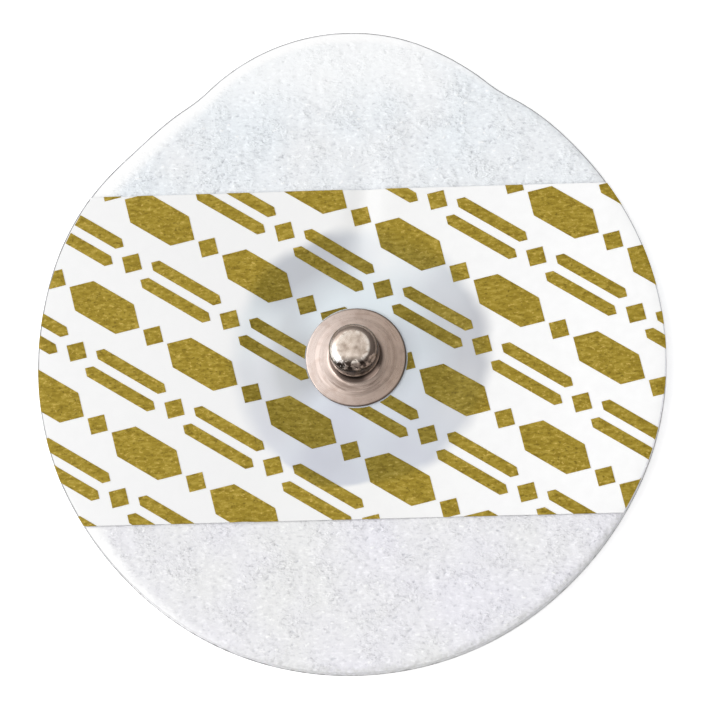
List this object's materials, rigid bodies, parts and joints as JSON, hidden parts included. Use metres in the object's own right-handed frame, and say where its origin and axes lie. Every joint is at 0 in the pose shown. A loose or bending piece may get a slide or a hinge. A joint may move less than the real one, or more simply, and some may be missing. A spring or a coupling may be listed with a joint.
{
  "type": "ecg electrode",
  "caption": "Round foam skin electrode with a pull tab, a printed label strip across it, a gel sponge in its middle and a snap stud for a lead clip.",
  "frame": {"origin": "on the skin face, at the middle of the gel, under the axis of the snap stud", "axes": "+Z away from the skin along the stud, +Y towards the tip of the pull tab"},
  "size_m": [0.05, 0.0523, 0.0053],
  "materials": {
    "foam": "white closed-cell polyethylene foam with fine pits, and a clear pressure-sensitive adhesive on its skin face",
    "label_film": "thin white film, slightly glossy, which lets the gel show through as a grey disc",
    "gold_ink": "flat gold ink with fine streaks",
    "nickel_plate": "warm nickel plate on drawn sheet, with small pits where the plate has worn on the head",
    "silver_coat": "grey silver and silver chloride coat on a moulded eyelet",
    "gel": "wet open-cell sponge soaked with clear conductive gel"
  },
  "bodies": {
    "root": {"foam_backing": "foam", "label": "label_film", "label_print": "gold_ink", "snap_stud": "nickel_plate", "sensor_eyelet": "silver_coat", "gel_sponge": "gel"}
  },
  "joints": []
}
